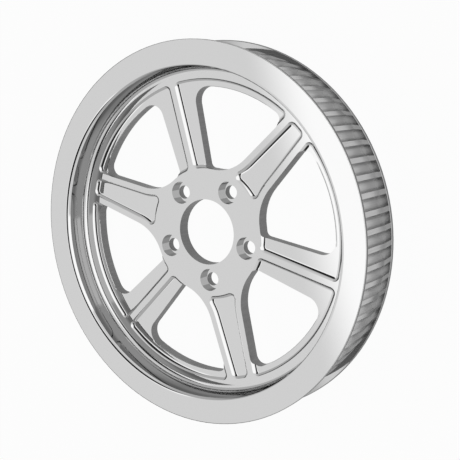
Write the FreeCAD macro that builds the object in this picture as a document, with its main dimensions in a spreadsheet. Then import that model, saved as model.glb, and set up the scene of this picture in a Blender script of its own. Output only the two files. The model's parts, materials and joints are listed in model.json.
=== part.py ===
import FreeCAD, Part
import Sketcher
import math
import os
from FreeCAD import Placement, Rotation, Vector

# Belt pulley for the rear wheel of a motorcycle, machined from one piece of aluminium.
# Millimetres. +Z is the wheel's axis, with the dished outer side up and the back flange on z = 0.
# +X runs along the middle of a ribbed spoke, through one of the bolt holes.

# Driving dimensions: name, value, meaning.
DIMENSIONS = [
    ("overall_width", 47.3, "from flange face to flange face"),
    ("flange_edge_width", 2.4, "flange at its outer edge"),
    ("flange_root_width", 2.8, "flange at the tooth tips"),
    ("flange_height", 5.425, "flanges above the tooth tips"),
    ("rim_wall", 12.475, "rim between its bore and the slot floors"),
    ("rim_lip_round", 3.0, "rounded edge of the rim's bore"),
    ("rim_root_round", 5.0, "hollow corner between web and rim"),
    ("tooth_pitch", 14.0, "belt pitch"),
    ("tooth_count", 70, "teeth around the rim"),
    ("pitch_line_offset", 1.397, "belt pitch line above the tooth tips"),
    ("slot_depth", 3.5, "tooth slot below the tips"),
    ("slot_floor_radius", 5.0, "round floor of a tooth slot"),
    ("slot_flank_angle", 30.0, "flank of a slot from its centre line"),
    ("slot_mouth_rise", 1.0, "slot cutter above the tips"),
    ("slot_turn", 1.54, "first slot from +X"),
    ("web_front_depth", 22.2, "web below the front flange face"),
    ("web_thickness", 11.3, "web, spokes and hub"),
    ("hub_bore_radius", 27.94, "centring bore"),
    ("bolt_circle_radius", 41.275, "bolt holes from the axis"),
    ("bolt_count", 5, "bolt holes"),
    ("bolt_hole_diameter", 11.5, "bolt clearance"),
    ("bolt_seat_diameter", 19.05, "counterbore for the bolt head"),
    ("bolt_seat_depth", 5.2, "counterbore below the web"),
    ("spoke_pairs", 3, "ribbed spokes, each with a pocketed one"),
    ("hub_margin", 3.2, "hub outside the bolt seats"),
    ("window_rib_offset", 9.91, "window edge beside a rib, from the axis"),
    ("window_rib_angle", 4.57, "window edge from the rib's line"),
    ("window_rib_corner", 12.0, "window corner, rib and rim"),
    ("window_spoke_corner", 8.0, "window corner, pocketed spoke and rim"),
    ("window_hub_corner", 5.0, "window corner, rib and hub"),
    ("spoke_edge_offset", 20.88, "edge of a pocketed spoke, from the axis"),
    ("spoke_edge_angle", 3.52, "taper of that edge"),
    ("spoke_flare_radius", 39.5, "flare of that edge into the hub"),
    ("recess_depth", 2.5, "ledges and pockets below the web"),
    ("recess_draft", 25.0, "slope of their walls"),
    ("recess_round", 2.0, "rounds at the top and foot of their walls"),
    ("recess_wall_flat", 0.1, "least straight wall between those rounds"),
    ("rib_half_width", 3.82, "ledge wall from the rib's line"),
    ("ledge_rim_gap", 11.2, "ledge wall from the rim's bore"),
    ("ledge_width", 5.4, "ledge between that wall and the window"),
    ("ledge_corner", 3.5, "ledge corners"),
    ("ledge_inset", 1.5, "ledge wall inside the hub's and the spoke's edges"),
    ("pocket_margin", 6.25, "pocket wall from the spoke's edge"),
    ("pocket_hub_gap", 2.3, "pocket wall from the hub's edge"),
    ("pocket_rim_gap", 12.4, "pocket wall from the rim's bore"),
    ("pocket_corner", 4.0, "pocket corners"),
]
SIZE = {name: value for name, value, meaning in DIMENSIONS}

# Places worked out from the driving dimensions.
WEB_FRONT = "Dimensions.overall_width - Dimensions.web_front_depth"
WEB_BACK = WEB_FRONT + " - Dimensions.web_thickness"
RECESS_FLOOR = WEB_FRONT + " - Dimensions.recess_depth"
FRONT_FLANGE_ROOT = "Dimensions.overall_width - Dimensions.flange_root_width"
TIP_RADIUS = "Dimensions.tooth_pitch * Dimensions.tooth_count / (2 * pi) - Dimensions.pitch_line_offset"
FLANGE_RADIUS = TIP_RADIUS + " + Dimensions.flange_height"
RIM_BORE_RADIUS = TIP_RADIUS + " - Dimensions.slot_depth - Dimensions.rim_wall"
RIM_ROOT_RADIUS = RIM_BORE_RADIUS + " - Dimensions.rim_root_round"
LEDGE_RIM_RADIUS = RIM_BORE_RADIUS + " - Dimensions.ledge_rim_gap"
WINDOW_RIM_RADIUS = LEDGE_RIM_RADIUS + " - Dimensions.ledge_width"
POCKET_RIM_RADIUS = RIM_BORE_RADIUS + " - Dimensions.pocket_rim_gap"
HUB_RADIUS = "Dimensions.bolt_circle_radius + Dimensions.bolt_seat_diameter / 2 + Dimensions.hub_margin"
POCKET_HUB_RADIUS = HUB_RADIUS + " + Dimensions.pocket_hub_gap"
SPOKE_STEP = "180 / Dimensions.spoke_pairs"
RECESS_SLOPE = "Dimensions.recess_depth / cos(Dimensions.recess_draft * 1 deg)"
RECESS_ROUND = ("min(Dimensions.recess_round; (%s - Dimensions.recess_wall_flat)"
                " / (2 * tan((90 - Dimensions.recess_draft) * 0.5 deg)))" % RECESS_SLOPE)

NEAR = 0.01
AXIS_UP = Vector(0, 0, 1)
START, END, CENTRE = range(1, 4)
X_AXIS, ORIGIN = -1, (-1, 1)

doc = FreeCAD.newDocument("belt_pulley")
sheet = doc.addObject("Spreadsheet::Sheet", "Dimensions")
for row, (name, value, meaning) in enumerate(DIMENSIONS, start=1):
    sheet.set("A%d" % row, name)
    sheet.set("B%d" % row, str(value))
    sheet.set("C%d" % row, meaning)
    sheet.setAlias("B%d" % row, name)
doc.recompute()

body = doc.addObject("PartDesign::Body", "Pulley")
body.Label = "belt_pulley"
origin = {feature.Role: feature for feature in body.Origin.OriginFeatures}


def cell(name):
    """Expression for one driving dimension."""
    return "Dimensions." + name


def measure(expression):
    """Value of an expression, in millimetres or degrees."""
    return float(sheet.evalExpression(expression))


def sketch_on_web(name, height, turn="0"):
    """Sketch parallel to the flanges at a height, turned about the axis; both are expressions."""
    sketch = body.newObject("Sketcher::SketchObject", name)
    sketch.AttachmentSupport = [(origin["XY_Plane"], "")]
    sketch.MapMode = "FlatFace"
    sketch.AttachmentOffset = Placement(Vector(0, 0, 1), Rotation(AXIS_UP, 1))
    sketch.setExpression("AttachmentOffset.Base.z", height)
    sketch.setExpression("AttachmentOffset.Rotation.Angle", "(%s) * 1 deg" % turn)
    return sketch


def constrain(sketch, expression, kind, *where):
    """Dimension of a sketch, bound to an expression."""
    sketch.setExpression("Constraints[%d]" % sketch.addConstraint(
        Sketcher.Constraint(kind, *where)), expression)


def polar(angle, length=1.0):
    """Point at an angle in degrees and a distance from the axis."""
    return Vector(math.cos(math.radians(angle)), math.sin(math.radians(angle)), 0) * length


def heading(vector):
    """Angle of a vector in degrees."""
    return math.degrees(math.atan2(vector.y, vector.x))


def beside(line_angle, side, offset, distance):
    """Point at an offset from a line through the axis and at a distance from the axis."""
    along = math.sqrt(distance ** 2 - offset ** 2)
    return polar(line_angle, along) + polar(line_angle + 90 * side, offset)


def line(first, last):
    """Straight piece of an outline."""
    return ("line", first, last)


def arc(centre, radius, first, last, turn=1):
    """Round piece of an outline between two angles in degrees, anticlockwise if turn is 1."""
    return ("arc", centre, radius, first, last, turn)


def mirrored(pieces):
    """The same pieces on the other side of +X, still in walking order."""
    def flip(point):
        return Vector(point.x, -point.y, 0)

    copies = []
    for kind, *shape in reversed(pieces):
        if kind == "line":
            first, last = shape
            copies.append(line(flip(last), flip(first)))
        else:
            centre, radius, first, last, turn = shape
            copies.append(arc(flip(centre), radius, -last, -first, turn))
    return copies


def draw(sketch, pieces):
    """Pieces in walking order, each running smoothly into the next; gives their indices."""
    walk = []
    for kind, *shape in pieces:
        if kind == "line":
            walk.append((sketch.addGeometry(Part.LineSegment(*shape)), START, END))
            continue
        centre, radius, first, last, turn = shape
        low, high = (first, last) if turn > 0 else (last, first)
        span = math.radians(low), math.radians(low + (high - low) % 360)
        index = sketch.addGeometry(Part.ArcOfCircle(Part.Circle(centre, AXIS_UP, radius), *span))
        walk.append((index, START, END) if turn > 0 else (index, END, START))
    for (one, one_enter, one_leave), (two, two_enter, two_leave) in zip(walk, walk[1:] + walk[:1]):
        sketch.addConstraint(Sketcher.Constraint("Tangent", one, one_leave, two, two_enter))
    return [index for index, enter, leave in walk]


def centre_on_axis(sketch, *arcs):
    """Arcs that turn about the pulley's axis."""
    for index in arcs:
        sketch.addConstraint(Sketcher.Constraint("Coincident", index, CENTRE, *ORIGIN))


def window_outline(sketch, rib_offset, rib_angle, rim_radius, corners, inset=None):
    """Outline between a rib on +X and the next pocketed spoke, from names of driving dimensions.

    The rim's radius is an expression. Without an angle the side along the rib is parallel to it.
    An inset draws the outline in from the hub's and the spoke's edges."""
    rib_corner, spoke_corner, hub_corner = corners
    rib_round, spoke_round, hub_round = (SIZE[corner] for corner in corners)
    rib_turn = SIZE[rib_angle] if rib_angle else 0.0
    step = SIZE[inset] if inset else 0.0
    step_in = cell(inset) if inset else "0"
    rib_gap, rim = SIZE[rib_offset], measure(rim_radius)
    spoke_gap = SIZE["spoke_edge_offset"] + step
    spoke_turn = measure(SPOKE_STEP) + SIZE["spoke_edge_angle"]
    hub = measure(HUB_RADIUS) + step
    flare = SIZE["spoke_flare_radius"] - step

    rib_centre = beside(rib_turn, 1, rib_gap + rib_round, rim - rib_round)
    spoke_centre = beside(spoke_turn, -1, spoke_gap + spoke_round, rim - spoke_round)
    flare_centre = beside(spoke_turn, -1, spoke_gap + flare, hub + flare)
    hub_centre = beside(rib_turn, 1, rib_gap + hub_round, hub + hub_round)
    to_rib, to_spoke = rib_turn - 90, spoke_turn + 90
    rib_line, rib_arc, rim_arc, spoke_arc, spoke_line, flare_arc, hub_arc, hub_round_arc = draw(sketch, [
        line(hub_centre + polar(to_rib, hub_round), rib_centre + polar(to_rib, rib_round)),
        arc(rib_centre, rib_round, to_rib, heading(rib_centre)),
        arc(Vector(), rim, heading(rib_centre), heading(spoke_centre)),
        arc(spoke_centre, spoke_round, heading(spoke_centre), to_spoke),
        line(spoke_centre + polar(to_spoke, spoke_round), flare_centre + polar(to_spoke, flare)),
        arc(flare_centre, flare, to_spoke, heading(flare_centre) + 180),
        arc(Vector(), hub, heading(flare_centre), heading(hub_centre), turn=-1),
        arc(hub_centre, hub_round, heading(hub_centre) + 180, to_rib)])

    centre_on_axis(sketch, rim_arc, hub_arc)
    constrain(sketch, cell(rib_offset), "Distance", *ORIGIN, rib_line, rib_gap)
    if rib_angle:
        constrain(sketch, cell(rib_angle) + " * 1 deg", "Angle", X_AXIS, rib_line, math.radians(rib_turn))
    else:
        sketch.addConstraint(Sketcher.Constraint("Horizontal", rib_line))
    constrain(sketch, cell("spoke_edge_offset") + " + " + step_in, "Distance", *ORIGIN, spoke_line, spoke_gap)
    constrain(sketch, "(%s + Dimensions.spoke_edge_angle) * 1 deg" % SPOKE_STEP,
              "Angle", X_AXIS, START, spoke_line, END, math.radians(spoke_turn))
    constrain(sketch, HUB_RADIUS + " + " + step_in, "Radius", hub_arc, hub)
    constrain(sketch, cell("spoke_flare_radius") + " - " + step_in, "Radius", flare_arc, flare)
    constrain(sketch, rim_radius, "Radius", rim_arc, rim)
    constrain(sketch, cell(rib_corner), "Radius", rib_arc, rib_round)
    constrain(sketch, cell(spoke_corner), "Radius", spoke_arc, spoke_round)
    constrain(sketch, cell(hub_corner), "Radius", hub_round_arc, hub_round)


def pocket_outline(sketch):
    """Outline of the pocket in a spoke that lies along the sketch's own +X."""
    taper, margin = SIZE["spoke_edge_angle"], SIZE["pocket_margin"]
    gap = SIZE["spoke_edge_offset"] - margin
    flare = SIZE["spoke_flare_radius"] + margin
    flare_reach = measure(HUB_RADIUS) + SIZE["spoke_flare_radius"]
    hub, rim, corner = measure(POCKET_HUB_RADIUS), measure(POCKET_RIM_RADIUS), SIZE["pocket_corner"]

    # Below +X: the corner at the hub touches the hub's arc and the flare.
    rim_centre = beside(taper, -1, gap - corner, rim - corner)
    flare_centre = beside(taper, -1, gap + flare, flare_reach)
    hub_reach = hub + corner
    along = (hub_reach ** 2 + flare_reach ** 2 - (flare + corner) ** 2) / (2 * flare_reach)
    hub_centre = beside(heading(flare_centre), 1, math.sqrt(hub_reach ** 2 - along ** 2), hub_reach)
    meets_flare = heading(hub_centre - flare_centre)
    lower = [
        arc(hub_centre, corner, heading(hub_centre) + 180, meets_flare + 180),
        arc(flare_centre, flare, meets_flare, taper + 90, turn=-1),
        line(flare_centre + polar(taper + 90, flare), rim_centre + polar(taper - 90, corner)),
        arc(rim_centre, corner, taper - 90, heading(rim_centre))]
    rim_piece = arc(Vector(), rim, heading(rim_centre), -heading(rim_centre))
    hub_piece = arc(Vector(), hub, -heading(hub_centre), heading(hub_centre), turn=-1)
    pieces = draw(sketch, lower + [rim_piece] + mirrored(lower) + [hub_piece])

    centre_on_axis(sketch, pieces[4], pieces[9])
    constrain(sketch, POCKET_RIM_RADIUS, "Radius", pieces[4], rim)
    constrain(sketch, POCKET_HUB_RADIUS, "Radius", pieces[9], hub)
    below, above = pieces[:4], pieces[8:4:-1]
    for hub_round, flare_arc, side_line, rim_round in (below, above):
        constrain(sketch, cell("pocket_corner"), "Radius", hub_round, corner)
        constrain(sketch, cell("pocket_corner"), "Radius", rim_round, corner)
        constrain(sketch, cell("spoke_flare_radius") + " + " + cell("pocket_margin"),
                  "Radius", flare_arc, flare)
        constrain(sketch, HUB_RADIUS + " + " + cell("spoke_flare_radius"),
                  "Distance", *ORIGIN, flare_arc, CENTRE, flare_reach)
        constrain(sketch, cell("spoke_edge_offset") + " - " + cell("pocket_margin"),
                  "Distance", *ORIGIN, side_line, gap)
    taper_in = cell("spoke_edge_angle") + " * 1 deg"
    constrain(sketch, taper_in, "Angle", X_AXIS, START, below[2], START, math.radians(taper))
    constrain(sketch, taper_in, "Angle", above[2], END, X_AXIS, START, math.radians(taper))


def slot_outline(sketch):
    """Outline of the tooth slot on the sketch's own +X: round floor, straight flanks, open mouth."""
    floor_radius, flank = SIZE["slot_floor_radius"], SIZE["slot_flank_angle"]
    tip_radius = measure(TIP_RADIUS)
    centre = Vector(tip_radius - SIZE["slot_depth"] + floor_radius, 0, 0)
    mouth = tip_radius + SIZE["slot_mouth_rise"]
    foot = centre + polar(90 + flank, floor_radius)
    lip = Vector(mouth, foot.y + (mouth - foot.x) * math.tan(math.radians(flank)), 0)
    foot_below, lip_below = Vector(foot.x, -foot.y, 0), Vector(lip.x, -lip.y, 0)

    floor = sketch.addGeometry(Part.ArcOfCircle(
        Part.Circle(centre, AXIS_UP, floor_radius), math.radians(90 + flank), math.radians(270 - flank)))
    flank_above = sketch.addGeometry(Part.LineSegment(foot, lip))
    flank_below = sketch.addGeometry(Part.LineSegment(foot_below, lip_below))
    across = sketch.addGeometry(Part.LineSegment(lip, lip_below))
    sketch.addConstraint([
        Sketcher.Constraint("Tangent", floor, START, flank_above, START),
        Sketcher.Constraint("Tangent", floor, END, flank_below, START),
        Sketcher.Constraint("Coincident", flank_above, END, across, START),
        Sketcher.Constraint("Coincident", flank_below, END, across, END),
        Sketcher.Constraint("Vertical", across),
        Sketcher.Constraint("PointOnObject", floor, CENTRE, X_AXIS)])
    constrain(sketch, TIP_RADIUS + " - Dimensions.slot_depth + Dimensions.slot_floor_radius",
              "DistanceX", *ORIGIN, floor, CENTRE, centre.x)
    constrain(sketch, cell("slot_floor_radius"), "Radius", floor, floor_radius)
    constrain(sketch, TIP_RADIUS + " + Dimensions.slot_mouth_rise",
              "DistanceX", *ORIGIN, across, START, mouth)
    flank_in = cell("slot_flank_angle") + " * 1 deg"
    constrain(sketch, flank_in, "Angle", X_AXIS, START, flank_above, START, math.radians(flank))
    constrain(sketch, flank_in, "Angle", flank_below, START, X_AXIS, START, math.radians(flank))


def bolt_circle(sketch):
    """Circle of the bolt hole on +X."""
    centre = Vector(SIZE["bolt_circle_radius"], 0, 0)
    diameter = SIZE["bolt_hole_diameter"]
    circle = sketch.addGeometry(Part.Circle(centre, AXIS_UP, diameter / 2))
    sketch.addConstraint(Sketcher.Constraint("PointOnObject", circle, CENTRE, X_AXIS))
    constrain(sketch, cell("bolt_circle_radius"), "DistanceX", *ORIGIN, circle, CENTRE, centre.x)
    constrain(sketch, cell("bolt_hole_diameter"), "Diameter", circle, diameter)


def half_section(sketch):
    """Half section of rim, web and hub, walked from the bore out over the front and back again."""
    corners = [
        (cell("hub_bore_radius"), WEB_BACK),
        (cell("hub_bore_radius"), WEB_FRONT),
        (RIM_BORE_RADIUS, WEB_FRONT),
        (RIM_BORE_RADIUS, cell("overall_width")),
        (FLANGE_RADIUS, cell("overall_width")),
        (FLANGE_RADIUS, "Dimensions.overall_width - Dimensions.flange_edge_width"),
        (TIP_RADIUS, FRONT_FLANGE_ROOT),
        (TIP_RADIUS, cell("flange_root_width")),
        (FLANGE_RADIUS, cell("flange_edge_width")),
        (FLANGE_RADIUS, None),
        (RIM_BORE_RADIUS, None),
        (RIM_BORE_RADIUS, WEB_BACK)]
    points = [Vector(measure(radius), measure(height) if height else 0, 0) for radius, height in corners]
    for index, (first, last) in enumerate(zip(points, points[1:] + points[:1])):
        sketch.addGeometry(Part.LineSegment(first, last))
        if index:
            sketch.addConstraint(Sketcher.Constraint("Coincident", index - 1, END, index, START))
    sketch.addConstraint(Sketcher.Constraint("Coincident", len(points) - 1, END, 0, START))
    for index, (radius, height) in enumerate(corners):
        constrain(sketch, radius, "DistanceX", *ORIGIN, index, START, points[index].x)
        if height:
            constrain(sketch, height, "DistanceY", *ORIGIN, index, START, points[index].y)
        else:
            sketch.addConstraint(Sketcher.Constraint("PointOnObject", index, START, X_AXIS))


def cut(kind, name, sketch):
    """Feature that removes material from the body so far."""
    doc.recompute()
    feature = body.newObject(kind, name)
    feature.Profile = sketch
    return feature


def recess(name, sketch):
    """Shallow sloping recess into the front of the web."""
    pocket = cut("PartDesign::Pocket", name, sketch)
    pocket.setExpression("Length", cell("recess_depth"))
    pocket.setExpression("TaperAngle", "-Dimensions.recess_draft * 1 deg")
    return pocket


def ring(feature, name, count):
    """Copies of a feature evenly round the axis."""
    pattern = body.newObject("PartDesign::PolarPattern", name)
    pattern.Originals = [feature]
    pattern.Axis = (origin["Z_Axis"], [""])
    pattern.Angle = 360
    pattern.setExpression("Occurrences", cell(count))
    body.Tip = pattern
    doc.recompute()
    return pattern


def both_sides_ring(feature, name):
    """Copies of a feature on both sides of every rib."""
    pattern = body.newObject("PartDesign::MultiTransform", name)
    mirror = body.newObject("PartDesign::Mirrored", name + "Sides")
    mirror.MirrorPlane = (origin["XZ_Plane"], [""])
    turns = body.newObject("PartDesign::PolarPattern", name + "Turns")
    turns.Axis = (origin["Z_Axis"], [""])
    turns.Angle = 360
    turns.setExpression("Occurrences", cell("spoke_pairs"))
    pattern.Originals = [feature]
    pattern.Transformations = [mirror, turns]
    body.Tip = pattern
    doc.recompute()
    return pattern


def rounded(feature, name, radius, wanted):
    """Rounds on the edges that a test wants; the radius is an expression."""
    edges = ["Edge%d" % number for number, edge in enumerate(feature.Shape.Edges, start=1) if wanted(edge)]
    fillet = body.newObject("PartDesign::Fillet", name)
    fillet.Base = (feature, edges)
    fillet.setExpression("Radius", radius)
    body.Tip = fillet
    doc.recompute()
    return fillet


def lies_at(edge, height):
    """True for an edge that lies flat at a height."""
    box = edge.BoundBox
    return abs(box.ZMin - height) < NEAR and abs(box.ZMax - height) < NEAR


def circles_axis(edge, radius):
    """True for a whole circle about the axis."""
    point = edge.Vertexes[0].Point
    return edge.isClosed() and abs(math.hypot(point.x, point.y) - radius) < NEAR


def on_rim_bore(edge, *heights):
    """True for an edge of the rim's bore at one of the heights."""
    return circles_axis(edge, measure(RIM_BORE_RADIUS)) and any(lies_at(edge, height) for height in heights)


def on_recess(edge):
    """True for an edge at the top or the foot of a recess wall."""
    if lies_at(edge, measure(RECESS_FLOOR)):
        return True
    web_edges = SIZE["hub_bore_radius"], measure(RIM_ROOT_RADIUS)
    return lies_at(edge, measure(WEB_FRONT)) and not any(circles_axis(edge, radius) for radius in web_edges)


# Rim, flanges, web and hub, turned from one section, with the corners of the dish rounded.
section = body.newObject("Sketcher::SketchObject", "HalfSection")
section.AttachmentSupport = [(origin["XZ_Plane"], "")]
section.MapMode = "FlatFace"
half_section(section)
blank = body.newObject("PartDesign::Revolution", "Blank")
blank.Profile = section
blank.ReferenceAxis = (section, ["V_Axis"])
blank.Angle = 360
doc.recompute()
rim_root = rounded(blank, "RimRoot", cell("rim_root_round"),
                   lambda edge: on_rim_bore(edge, measure(WEB_FRONT), measure(WEB_BACK)))
rounded(rim_root, "RimLip", cell("rim_lip_round"),
        lambda edge: on_rim_bore(edge, 0, SIZE["overall_width"]))

# Ledges on both sides of each rib and pockets in the spokes between, with rounded sloping walls.
ledge_sketch = sketch_on_web("LedgeOutline", WEB_FRONT)
window_outline(ledge_sketch, "rib_half_width", None, LEDGE_RIM_RADIUS,
               ("ledge_corner", "ledge_corner", "ledge_corner"), inset="ledge_inset")
both_sides_ring(recess("Ledge", ledge_sketch), "Ledges")
pocket_sketch = sketch_on_web("SpokePocketOutline", WEB_FRONT, SPOKE_STEP)
pocket_outline(pocket_sketch)
recesses = ring(recess("SpokePocket", pocket_sketch), "SpokePockets", "spoke_pairs")
rounded(recesses, "RecessRounds", RECESS_ROUND, on_recess)

# Six windows through the web.
window_sketch = sketch_on_web("WindowOutline", WEB_FRONT)
window_outline(window_sketch, "window_rib_offset", "window_rib_angle", WINDOW_RIM_RADIUS,
               ("window_rib_corner", "window_spoke_corner", "window_hub_corner"))
window = cut("PartDesign::Pocket", "Window", window_sketch)
window.Type = "ThroughAll"
both_sides_ring(window, "Windows")

# Bolt holes through the hub, with a seat for each bolt head.
bolt_sketch = sketch_on_web("BoltHoleCentre", WEB_FRONT)
bolt_circle(bolt_sketch)
bolt_hole = cut("PartDesign::Hole", "BoltHole", bolt_sketch)
bolt_hole.ThreadType = "None"
bolt_hole.DepthType = "ThroughAll"
bolt_hole.DrillPoint = "Flat"
bolt_hole.HoleCutType = "Counterbore"
bolt_hole.HoleCutCustomValues = True
bolt_hole.setExpression("Diameter", cell("bolt_hole_diameter"))
bolt_hole.setExpression("HoleCutDiameter", cell("bolt_seat_diameter"))
bolt_hole.setExpression("HoleCutDepth", cell("bolt_seat_depth"))
ring(bolt_hole, "BoltHoles", "bolt_count")

# Tooth slots from flange to flange.
slot_sketch = sketch_on_web("ToothSlotOutline", FRONT_FLANGE_ROOT, cell("slot_turn"))
slot_outline(slot_sketch)
slot = cut("PartDesign::Pocket", "ToothSlot", slot_sketch)
slot.setExpression("Length", FRONT_FLANGE_ROOT + " - Dimensions.flange_root_width")
ring(slot, "ToothSlots", "tooth_count")

# Every feature is sound, and every cut has taken material away.
for feature in doc.Objects:
    if "Invalid" in feature.State or "Error" in feature.State:
        raise RuntimeError("%s failed" % feature.Name)
for feature in body.Group:
    if feature.isDerivedFrom("PartDesign::ProfileBased") and feature is not blank:
        before = feature.BaseFeature.Shape.Volume
        if before - feature.Shape.Volume < NEAR:
            raise RuntimeError("%s cuts nothing" % feature.Name)
if body.Shape.isNull() or not body.Shape.isValid() or len(body.Shape.Solids) != 1:
    raise RuntimeError("%s is not one valid solid" % body.Label)

os.makedirs("parts", exist_ok=True)
body.Shape.exportStep("parts/%s.step" % body.Label)
print("%s: volume %.0f mm3, %d faces" % (body.Label, body.Shape.Volume, len(body.Shape.Faces)))
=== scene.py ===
import json
import math

import bpy
from mathutils import Matrix, Vector


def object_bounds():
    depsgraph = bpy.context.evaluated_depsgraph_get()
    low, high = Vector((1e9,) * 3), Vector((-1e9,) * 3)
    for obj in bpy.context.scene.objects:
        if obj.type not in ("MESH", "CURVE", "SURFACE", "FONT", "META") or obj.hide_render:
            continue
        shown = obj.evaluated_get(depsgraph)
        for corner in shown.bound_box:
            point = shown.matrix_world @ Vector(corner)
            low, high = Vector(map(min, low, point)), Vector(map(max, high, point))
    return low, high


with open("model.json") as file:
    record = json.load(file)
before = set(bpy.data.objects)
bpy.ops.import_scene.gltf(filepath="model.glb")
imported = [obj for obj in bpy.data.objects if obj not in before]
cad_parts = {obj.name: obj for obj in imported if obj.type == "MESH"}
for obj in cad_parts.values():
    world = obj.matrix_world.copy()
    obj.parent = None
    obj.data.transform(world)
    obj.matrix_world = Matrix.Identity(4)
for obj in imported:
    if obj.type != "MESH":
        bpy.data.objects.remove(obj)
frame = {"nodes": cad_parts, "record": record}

# Polished belt pulley, lying on its back flange on a pale studio floor. Metres and degrees.
# The axis of the pulley is Z, and heights are from the back flange.

PULLEY = "belt_pulley"
SLOT = "polished_aluminium"
cad_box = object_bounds()

# Camera: it looks at a point on the web, from an azimuth, an elevation and a distance, with a roll.
AIM = (0.0225, 0.0098, 0.0251)
CAMERA_AZIMUTH = 31.04
CAMERA_ELEVATION = 54.71
CAMERA_DISTANCE = 0.7773
CAMERA_ROLL = -104.11
CAMERA_LENS = 73.16
SENSOR_WIDTH = 36.0
CAMERA_NEAR = 0.01

# Sizes of the pulley that its finish follows. The first window and the first bolt are at angles from +X.
WIDTH = cad_box[1][2]
RIM_BORE = 0.1386
RIM_ROOT_ROUND = 0.005
RIM_LIP_ROUND = 0.003
WEB_FRONT = 0.0251
WEB_BACK = 0.0138
RECESS_DEPTH = 0.0025
RECESS_ROUND = 0.002
RECESS_WALL_WIDTH = 0.0037
FLANGE_RADIUS = cad_box[1][0]
FLANGE_THICKNESS = 0.0028
SLOT_FLOOR = 0.1508
WINDOW_COUNT = 6
WINDOW_FIRST = 30.0
WINDOW_RIM = 0.122
BOLT_CIRCLE = 0.041275
BOLT_COUNT = 5
BOLT_FIRST = 0.0
BOLT_HOLE = 0.00575
BOLT_SEAT = 0.009525

# Slack for faces that are exact, and for the chords of round walls and of the flange edges.
HAIR = 0.00001
WALL_SAG = 0.0003
FLANGE_SAG = 0.0005

# Upright part of a normal: less than the first on a wall, more than the second on a flat.
SHEER = 0.3
LEVEL = 0.9999

# Shading of the front lip, and of the hollow corner at the foot of the rim wall. Each course pairs a
# reach along the round with the tilt towards the axis there. A reach is counted in the half section, as a
# share of the way across from a starting radius and a share of the way down or up from the flat.
REACH_ACROSS = 0.82
REACH_UPRIGHT = 0.58
LIP_START = 0.1413
LIP_END = 0.0042
LIP_COURSE = ((0.0, 0.0), (0.0008, 13.5), (0.0022, 24.0), (0.0027, 42.0))
ROOT_START = 0.1329
ROOT_COURSE = ((0.0, 0.0), (0.0011, 12.5), (0.0026, 24.5), (0.0076, 90.0))
DEGREE = math.radians(1)

# Shading of the recess walls at their top, and of edges that are broken over a width and down by a drop.
# The edge of a window is broken along its outer arc, and fades out between two angles from the middle.
RECESS_TOP_SLOPE = 44.0
FLANGE_BREAK = 0.0006
FLANGE_BREAK_DROP = 0.0003
WINDOW_BREAK = 0.001
WINDOW_BREAK_DROP = 0.0003
WINDOW_FADE = (13.0, 16.5)

# Finishes: polish comes from the record, and roughness is by the way of working. The other greys are
# darker
# for painted shade: wholly on the turned rim wall and seats, the underside and the back flange, and in
# part on the teeth and the milled walls. The turned wall gets more painted shade above the heights of its
# top, under the lip.
POLISH_ROUGHNESS = 0.03
TURNED_PAINTED_SHADE_GREY = 0.42
TURNED_ROUGHNESS = 0.05
LIP_PAINTED_SHADE_HEIGHTS = (0.036, 0.041)
LIP_PAINTED_SHADE_SHARE = 0.5
ROOT_ROUGHNESS = 0.1
TEETH_PAINTED_SHADE_GREY = 0.5
TEETH_ROUGHNESS = 0.32
UNDERSIDE_PAINTED_SHADE_GREY = 0.28
BACK_FLANGE_PAINTED_SHADE_GREY = 0.5
MILLED_PAINTED_SHADE_GREY = 0.21
MILLED_ROUGHNESS = 0.5

# Marks of working: how many to a metre, how deep, and how much they shift roughness or reflectance.
CLOUDS = 45.0
CLOUD_SHIFT = 0.5
GRAIN = 1500.0
GRAIN_DEPTH = 0.00000006
RINGS = 1200.0
RING_DEPTH = 0.0000004
STREAKS = 900.0
STREAK_STRETCH = 0.03
STREAK_DEPTH = 0.000004
STREAK_SHIFT = 0.35
NOISE_MIDDLE = 0.5

# Studio: a long strip light overhead, in the vertical plane of one azimuth, with dimmer sides and a dark
# horizon. A dark bar crosses the strip, and its far edge bows away from the camera towards its ends.
# Places are on a ceiling one unit up, heights are sines, levels are radiances. A pair is where a change
# of level begins and ends.
STUDIO_TURN = 31.0
LOWEST_RISE = 0.02
STRIP_EDGE = (0.47, 0.52)
STRIP_START = (-0.625, -0.545)
STRIP_FADE = (0.9, 2.4)
STRIP_FAR = 0.755
STRIP_LIGHT = 1.165
STRIP_NEAR = 0.45
BAR_START = (-0.44, -0.36)
BAR_END = (-0.14, 0.08)
BAR_BOW = 0.25
BAR_EDGE = (0.52, 0.66)
BAR_LIGHT = 0.02
SIDE_STEP = (-0.4, 0.1)
SIDE_FAR = 0.46
SIDE_NEAR = 0.7
HORIZON = (0.14, 0.38)
HORIZON_LIGHT = 0.03
WHITE = (1.0, 1.0, 1.0, 1.0)

# Floor: its glow is the share that is plain white to the camera and in mirrors, the rest keeps a shadow.
FLOOR_SIZE = 80.0
FLOOR_DROP = 0.0003
FLOOR_GLOW = 0.95
FLOOR_GREY = 0.8
FLOOR_ROUGHNESS = 0.9

# Sockets of a mix node that is set to vectors.
MIX_SHARE = 0
MIX_FIRST = 4
MIX_SECOND = 5
MIX_RESULT = 1


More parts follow.
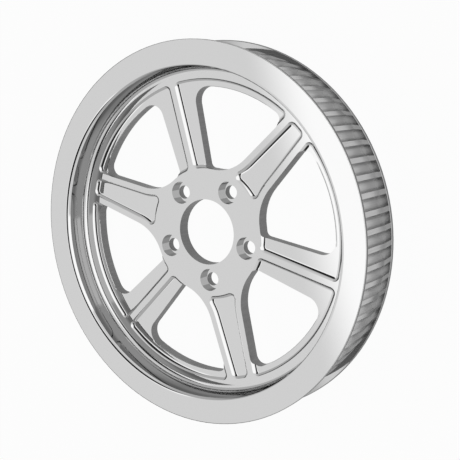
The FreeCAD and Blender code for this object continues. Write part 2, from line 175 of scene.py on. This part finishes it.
class Field:
    """Output of a node, with arithmetic that adds more nodes to its tree."""

    def __init__(self, tree, socket):
        self.tree = tree
        self.socket = socket

    def math(self, operation, *values):
        """Math node on plain values and fields of the same tree."""
        node = self.tree.nodes.new("ShaderNodeMath")
        node.operation = operation
        for slot, value in zip(node.inputs, values):
            feed(self.tree, value, slot)
        return Field(self.tree, node.outputs[0])

    def __add__(self, other):
        return self.math("ADD", self, other)

    def __radd__(self, other):
        return self.math("ADD", other, self)

    def __sub__(self, other):
        return self.math("SUBTRACT", self, other)

    def __rsub__(self, other):
        return self.math("SUBTRACT", other, self)

    def __mul__(self, other):
        return self.math("MULTIPLY", self, other)

    def __truediv__(self, other):
        return self.math("DIVIDE", self, other)

    def __gt__(self, other):
        return self.math("GREATER_THAN", self, other)

    def __lt__(self, other):
        return self.math("LESS_THAN", self, other)

    def __abs__(self):
        return self.math("ABSOLUTE", self)

    def root(self):
        return self.math("SQRT", self)

    def sine(self):
        return self.math("SINE", self)

    def cosine(self):
        return self.math("COSINE", self)

    def most(self, other):
        return self.math("MAXIMUM", self, other)

    def least(self, other):
        return self.math("MINIMUM", self, other)

    def between(self, low, high):
        return (self > low) * (self < high)

    def ease(self, low, high):
        """0 below low, 1 above high, smooth between."""
        node = self.tree.nodes.new("ShaderNodeMapRange")
        node.interpolation_type = "SMOOTHSTEP"
        feed(self.tree, self, node.inputs["Value"])
        node.inputs["From Min"].default_value = low
        node.inputs["From Max"].default_value = high
        return Field(self.tree, node.outputs[0])

    def ramp(self, low, high):
        """0 below low, 1 above high, straight between."""
        return ((self - low) / (high - low)).most(0.0).least(1.0)

    def follow(self, course):
        """Straight runs through pairs of a value of this and a result, level outside them."""
        result = course[0][1]
        for (start, low), (end, high) in zip(course, course[1:]):
            result = result + self.ramp(start, end) * (high - low)
        return result

    def blend(self, low, high):
        """low where this is 0, high where it is 1."""
        return low + self * (high - low)


def feed(tree, value, socket):
    """Wires a field into a socket, or sets a plain value on it."""
    if isinstance(value, Field):
        tree.links.new(value.socket, socket)
    else:
        socket.default_value = value


def split(tree, vector):
    """x, y and z of a vector field."""
    node = tree.nodes.new("ShaderNodeSeparateXYZ")
    feed(tree, vector, node.inputs[0])
    return [Field(tree, socket) for socket in node.outputs]


def join(tree, *parts):
    """Vector field from x, y and z."""
    node = tree.nodes.new("ShaderNodeCombineXYZ")
    for part, socket in zip(parts, node.inputs):
        feed(tree, part, socket)
    return Field(tree, node.outputs[0])


def output(tree, kind, name=None):
    """Field of a new node, by the name of its output."""
    node = tree.nodes.new(kind)
    return Field(tree, node.outputs[name] if name else node.outputs[0])


def choose(tree, condition, yes, no):
    """Vector field that takes one of two values, in geometry nodes."""
    node = tree.nodes.new("GeometryNodeSwitch")
    node.input_type = "VECTOR"
    feed(tree, condition, node.inputs["Switch"])
    feed(tree, yes, node.inputs["True"])
    feed(tree, no, node.inputs["False"])
    return Field(tree, node.outputs[0])


def noise(tree, vector, scale):
    """Noise field around 0, with so many marks to a metre of the vector field."""
    node = tree.nodes.new("ShaderNodeTexNoise")
    node.inputs["Scale"].default_value = scale
    feed(tree, vector, node.inputs["Vector"])
    return Field(tree, node.outputs[0]) - NOISE_MIDDLE


def rim_round_normals(tree, x, y, z, radius, normal):
    """Normals of the rounds that are turned about the axis, and the given normal elsewhere."""
    root_radius = RIM_BORE - RIM_ROOT_ROUND
    lip_radius = RIM_BORE + RIM_LIP_ROUND
    # Centre radius and height, size, 1 if hollow or -1 if raised, 1 in front or -1 at the back.
    rounds = (
        (root_radius, WEB_FRONT + RIM_ROOT_ROUND, RIM_ROOT_ROUND, 1, 1),
        (root_radius, WEB_BACK - RIM_ROOT_ROUND, RIM_ROOT_ROUND, 1, -1),
        (lip_radius, WIDTH - RIM_LIP_ROUND, RIM_LIP_ROUND, -1, 1),
        (lip_radius, RIM_LIP_ROUND, RIM_LIP_ROUND, -1, -1))
    for centre_radius, centre_z, size, hollow, front in rounds:
        slack = HAIR / size
        out = (radius - centre_radius) * (-hollow / size)
        rise = (z - centre_z) * (-hollow / size)
        inside = (out < slack) * (rise * front).between(-slack, 1 + slack)
        near = radius.between(min(centre_radius, RIM_BORE) - HAIR, max(centre_radius, RIM_BORE) + HAIR)
        turned = join(tree, x / radius * out, y / radius * out, rise)
        normal = choose(tree, inside * near, turned, normal)
    return normal


def recess_wall_normals(tree, z, radius, normal):
    """Where the recess walls lie, and normals that shade each as one hollow sweep to a crisp edge."""
    normal_x, normal_y, normal_z = split(tree, normal)
    floor = WEB_FRONT - RECESS_DEPTH
    # How far out from its foot a point of the wall lies, by the round at the foot or at the top.
    rise = (z - floor).most(0.0)
    drop = (WEB_FRONT - z).most(0.0)
    from_foot = (rise * (2 * RECESS_ROUND - rise)).root()
    from_top = RECESS_WALL_WIDTH - (drop * (2 * RECESS_ROUND - drop)).root()
    out = (rise < drop).blend(from_top, from_foot)
    lean = out * (math.sin(math.radians(RECESS_TOP_SLOPE)) / RECESS_WALL_WIDTH)
    upright = (1 - lean * lean).root()
    # The wall keeps its own heading.
    sideways = (normal_x * normal_x + normal_y * normal_y).root().most(HAIR)
    sweep = join(tree, normal_x / sideways * lean, normal_y / sideways * lean, upright)
    on_web = (radius < RIM_BORE - RIM_ROOT_ROUND - HAIR) * z.between(floor - HAIR, WEB_FRONT + HAIR)
    return on_web * normal_z.between(SHEER, LEVEL), sweep


def shade_rounds(node):
    """Smooth shading normals on the turned rounds of the rim and the walls of the recesses."""
    tree = bpy.data.node_groups.new("smooth_normals", "GeometryNodeTree")
    for direction in ("INPUT", "OUTPUT"):
        tree.interface.new_socket("Geometry", in_out=direction, socket_type="NodeSocketGeometry")
    mesh_in = tree.nodes.new("NodeGroupInput")
    mesh_out = tree.nodes.new("NodeGroupOutput")
    setter = tree.nodes.new("GeometryNodeSetMeshNormal")
    setter.mode = "FREE"
    setter.domain = "CORNER"
    tree.links.new(mesh_in.outputs[0], setter.inputs["Mesh"])
    tree.links.new(setter.outputs[0], mesh_out.inputs[0])

    own_normal = output(tree, "GeometryNodeInputNormal", "Normal")
    x, y, z = split(tree, output(tree, "GeometryNodeInputPosition"))
    radius = (x * x + y * y).root()
    normal = rim_round_normals(tree, x, y, z, radius, own_normal)
    on_wall, sweep = recess_wall_normals(tree, z, radius, own_normal)
    feed(tree, choose(tree, on_wall, sweep, normal), setter.inputs["Custom Normal"])
    node.modifiers.new("smooth_normals", "NODES").node_group = tree


class Spot:
    """Point of the pulley's surface, as fields of a material."""

    def __init__(self, tree):
        self.place = output(tree, "ShaderNodeTexCoord", "Object")
        self.x, self.y, self.z = split(tree, self.place)
        self.radius = (self.x * self.x + self.y * self.y).root()
        self.upright = split(tree, output(tree, "ShaderNodeTexCoord", "Normal"))[2]
        self.sheer = abs(self.upright) < SHEER
        self.lip_reach = (LIP_START - self.radius) * REACH_ACROSS + (WIDTH - self.z) * REACH_UPRIGHT
        self.root_reach = (self.radius - ROOT_START) * REACH_ACROSS + (self.z - WEB_FRONT) * REACH_UPRIGHT

    def folded_angle(self, count, first):
        """Angle in radians from the nearest of so many even headings, the first of them given."""
        step = math.tau / count
        angle = self.x.math("ARCTAN2", self.y, self.x) + (math.tau + step / 2 - math.radians(first))
        return abs(angle.math("MODULO", angle, step) - step / 2)

    def bolt_distance(self):
        """Distance from the axis of the nearest bolt hole."""
        angle = self.folded_angle(BOLT_COUNT, BOLT_FIRST)
        along = self.radius * angle.cosine() - BOLT_CIRCLE
        aside = self.radius * angle.sine()
        return (along * along + aside * aside).root()


class Zones:
    """Where each finish and each painted shade lies, as fields that are 1 there and 0 elsewhere."""

    def __init__(self, spot):
        radius = spot.radius
        z = spot.z
        outside = radius > SLOT_FLOOR
        seat = spot.bolt_distance().between(BOLT_HOLE + HAIR, BOLT_SEAT + HAIR)
        rim_wall = radius.between(RIM_BORE - WALL_SAG, RIM_BORE + HAIR) * (spot.lip_reach > LIP_END)
        web_wall = (radius < RIM_BORE - RIM_ROOT_ROUND) * (1 - seat)
        flange_edge = radius > FLANGE_RADIUS - FLANGE_SAG
        self.turned = spot.sheer * seat.most(rim_wall)
        self.teeth = spot.sheer * outside * z.between(FLANGE_THICKNESS, WIDTH - FLANGE_THICKNESS)
        self.underside = (spot.upright < -SHEER) * outside
        self.back_flange = (spot.upright > SHEER) * outside * (z < FLANGE_THICKNESS + HAIR)
        self.milled = spot.sheer * flange_edge.most(web_wall)
        self.cut = self.teeth.most(self.milled)
        self.lip = radius.between(RIM_BORE - WALL_SAG, RIM_BORE + RIM_LIP_ROUND)
        self.lip = self.lip * (spot.lip_reach < LIP_END)
        self.root = radius.between(ROOT_START, RIM_BORE)
        self.root = self.root * z.between(WEB_FRONT - HAIR, WEB_FRONT + RIM_ROOT_ROUND)


class Marks:
    """Clouds and grain of polishing, rings of turning, and streaks of cutters run along the axis."""

    def __init__(self, tree, spot):
        self.clouds = noise(tree, spot.place, CLOUDS)
        self.grain = noise(tree, spot.place, GRAIN)
        self.rings = noise(tree, join(tree, spot.z, 0.0, 0.0), RINGS)
        self.streaks = noise(tree, join(tree, spot.x, spot.y, spot.z * STREAK_STRETCH), STREAKS)


def grey_with_painted_shade(spot, zones, marks):
    """Reflectance: polish, darker greys that paint shade on the other zones, and the streaks of the
    cutters.
    """
    polish = frame["record"]["materials"][0]["base_color"][0]
    # Painted shade: the turned rim wall and bolt seats are a darker grey, darker still towards the top
    # under the lip.
    turned_painted_shade = spot.z.ease(*LIP_PAINTED_SHADE_HEIGHTS).blend(1.0, LIP_PAINTED_SHADE_SHARE) * TURNED_PAINTED_SHADE_GREY
    grey = zones.turned.blend(polish, turned_painted_shade)
    # Painted shade on the teeth: a darker grey, in part their satin finish.
    grey = zones.teeth.blend(grey, TEETH_PAINTED_SHADE_GREY)
    # Painted shade on the downward faces under the front flange.
    grey = zones.underside.blend(grey, UNDERSIDE_PAINTED_SHADE_GREY)
    # Painted shade on the back flange's front face, between the flanges.
    grey = zones.back_flange.blend(grey, BACK_FLANGE_PAINTED_SHADE_GREY)
    # Painted shade on the milled walls: a dark grey, in part their milled finish.
    grey = zones.milled.blend(grey, MILLED_PAINTED_SHADE_GREY)
    return grey * (1 + zones.cut * marks.streaks * STREAK_SHIFT)


def finish_roughness(zones, marks):
    """Roughness by finish, with the clouds of polishing."""
    roughness = zones.turned.blend(POLISH_ROUGHNESS, TURNED_ROUGHNESS)
    roughness = zones.teeth.blend(roughness, TEETH_ROUGHNESS)
    roughness = zones.milled.most(zones.underside).blend(roughness, MILLED_ROUGHNESS)
    roughness = zones.root.blend(roughness, ROOT_ROUGHNESS)
    return roughness * (1 + marks.clouds * CLOUD_SHIFT)


def finish_height(spot, zones, marks):
    """Height of the marks of working, and of the broken edges of the flanges and the windows."""
    height = marks.grain * GRAIN_DEPTH + zones.turned * marks.rings * RING_DEPTH
    height = height + zones.cut * marks.streaks * STREAK_DEPTH
    flange = ((spot.radius - (FLANGE_RADIUS - FLANGE_BREAK)) / FLANGE_BREAK).most(0.0)
    window = ((WINDOW_RIM + WINDOW_BREAK - spot.radius) / WINDOW_BREAK).most(0.0)
    fade_start, fade_end = WINDOW_FADE
    off_arc = spot.folded_angle(WINDOW_COUNT, WINDOW_FIRST).ease(fade_start * DEGREE, fade_end * DEGREE)
    on_arc = (1 - off_arc) * (spot.radius > WINDOW_RIM - WALL_SAG) * (1 - spot.sheer)
    height = height - flange * flange * FLANGE_BREAK_DROP
    return height - window * window * on_arc * WINDOW_BREAK_DROP


def rim_normal(tree, spot, zones):
    """Normal that shades the front lip as one broad round, and the corner below it as a hollow one."""
    lip_tilt = spot.lip_reach.follow(LIP_COURSE)
    root_tilt = spot.root_reach.follow(ROOT_COURSE)
    tilt = zones.root.blend(lip_tilt, root_tilt) * DEGREE
    inward = tilt.sine() / spot.radius
    tilted = tree.nodes.new("ShaderNodeVectorTransform")
    tilted.vector_type = "NORMAL"
    tilted.convert_from = "OBJECT"
    tilted.convert_to = "WORLD"
    feed(tree, join(tree, 0 - spot.x * inward, 0 - spot.y * inward, tilt.cosine()), tilted.inputs[0])
    mix = tree.nodes.new("ShaderNodeMix")
    mix.data_type = "VECTOR"
    feed(tree, zones.lip.most(zones.root), mix.inputs[MIX_SHARE])
    feed(tree, output(tree, "ShaderNodeNewGeometry", "Normal"), mix.inputs[MIX_FIRST])
    feed(tree, Field(tree, tilted.outputs[0]), mix.inputs[MIX_SECOND])
    return Field(tree, mix.outputs[MIX_RESULT])


def polished_aluminium():
    """Mirror polish on the faces, a finely turned rim, and milled walls, with painted shade as darker
    greys off the polished faces.
    """
    material = bpy.data.materials.new(SLOT)
    material.use_nodes = True
    tree = material.node_tree
    shader = tree.nodes["Principled BSDF"]
    spot = Spot(tree)
    zones = Zones(spot)
    marks = Marks(tree, spot)

    shade = tree.nodes.new("ShaderNodeCombineColor")
    grey = grey_with_painted_shade(spot, zones, marks)
    for socket in shade.inputs:
        feed(tree, grey, socket)
    bump = tree.nodes.new("ShaderNodeBump")
    bump.inputs["Strength"].default_value = 1.0
    bump.inputs["Distance"].default_value = 1.0
    feed(tree, finish_height(spot, zones, marks), bump.inputs["Height"])
    feed(tree, rim_normal(tree, spot, zones), bump.inputs["Normal"])

    tree.links.new(shade.outputs[0], shader.inputs["Base Color"])
    shader.inputs["Metallic"].default_value = 1.0
    feed(tree, finish_roughness(zones, marks), shader.inputs["Roughness"])
    tree.links.new(bump.outputs[0], shader.inputs["Normal"])
    return material


def studio_dome():
    """Soft studio light as a function of direction: an overhead strip with a bar across, and sides."""
    world = bpy.data.worlds.new("studio")
    world.use_nodes = True
    tree = world.node_tree
    background = tree.nodes["Background"]
    turn = tree.nodes.new("ShaderNodeMapping")
    turn.vector_type = "POINT"
    turn.inputs["Rotation"].default_value = (0, 0, -math.radians(STUDIO_TURN))
    feed(tree, output(tree, "ShaderNodeTexCoord", "Generated"), turn.inputs["Vector"])
    along, across, height = split(tree, Field(tree, turn.outputs[0]))

    # Where the direction meets a ceiling one unit up.
    rise = height.most(LOWEST_RISE)
    run = along / rise
    spread = abs(across) / rise
    lamp = run.ease(*STRIP_START).blend(STRIP_FAR, STRIP_LIGHT)
    lamp = run.ease(*STRIP_FADE).blend(lamp, STRIP_NEAR)
    sides = run.ease(*SIDE_STEP).blend(SIDE_FAR, SIDE_NEAR)
    bar = (run + spread * BAR_BOW).ease(*BAR_START) * (1 - run.ease(*BAR_END))
    bar = bar * (1 - spread.ease(*BAR_EDGE))
    level = spread.ease(*STRIP_EDGE).blend(lamp, sides)
    level = bar.blend(level, BAR_LIGHT)
    level = height.ease(*HORIZON).blend(HORIZON_LIGHT, level)
    background.inputs["Color"].default_value = WHITE
    feed(tree, level, background.inputs["Strength"])
    bpy.context.scene.world = world


def floor_white():
    """Plain white to the camera and in mirrors, over a matt grey that keeps a soft shadow."""
    material = bpy.data.materials.new("floor")
    material.use_nodes = True
    tree = material.node_tree
    shader = tree.nodes["Principled BSDF"]
    shader.inputs["Base Color"].default_value = (FLOOR_GREY, FLOOR_GREY, FLOOR_GREY, 1)
    shader.inputs["Roughness"].default_value = FLOOR_ROUGHNESS
    shader.inputs["Specular IOR Level"].default_value = 0.0
    glow = tree.nodes.new("ShaderNodeEmission")
    path = tree.nodes.new("ShaderNodeLightPath")
    seen = Field(tree, path.outputs["Is Camera Ray"])
    for ray in ("Is Glossy Ray", "Is Transmission Ray"):
        seen = seen.most(Field(tree, path.outputs[ray]))
    mix = tree.nodes.new("ShaderNodeMixShader")
    feed(tree, seen * FLOOR_GLOW, mix.inputs["Fac"])
    tree.links.new(shader.outputs[0], mix.inputs[1])
    tree.links.new(glow.outputs[0], mix.inputs[2])
    tree.links.new(mix.outputs[0], tree.nodes["Material Output"].inputs["Surface"])
    return material


def pale_floor():
    """Wide floor just under the pulley."""
    bpy.ops.mesh.primitive_plane_add(size=FLOOR_SIZE, location=(0, 0, -FLOOR_DROP))
    floor = bpy.context.active_object
    floor.name = "floor"
    floor.data.materials.append(floor_white())


def photo_camera():
    """Camera at the photograph's viewing angle."""
    data = bpy.data.cameras.new("camera")
    data.lens = CAMERA_LENS
    data.sensor_width = SENSOR_WIDTH
    data.clip_start = CAMERA_NEAR
    camera = bpy.data.objects.new("camera", data)
    bpy.context.scene.collection.objects.link(camera)
    azimuth = math.radians(CAMERA_AZIMUTH)
    elevation = math.radians(CAMERA_ELEVATION)
    out = math.cos(elevation)
    back = Vector((math.cos(azimuth) * out, math.sin(azimuth) * out, math.sin(elevation)))
    upright = back.to_track_quat("Z", "Y").to_matrix()
    roll = Matrix.Rotation(math.radians(CAMERA_ROLL), 3, "Z")
    eye = Vector(AIM) + back * CAMERA_DISTANCE
    camera.matrix_world = Matrix.Translation(eye) @ (upright @ roll).to_4x4()
    bpy.context.scene.camera = camera


pulley = frame["nodes"][PULLEY]
shade_rounds(pulley)
pulley.data.materials[0] = polished_aluminium()
studio_dome()
pale_floor()
photo_camera()
bpy.context.scene.view_settings.view_transform = "Standard"
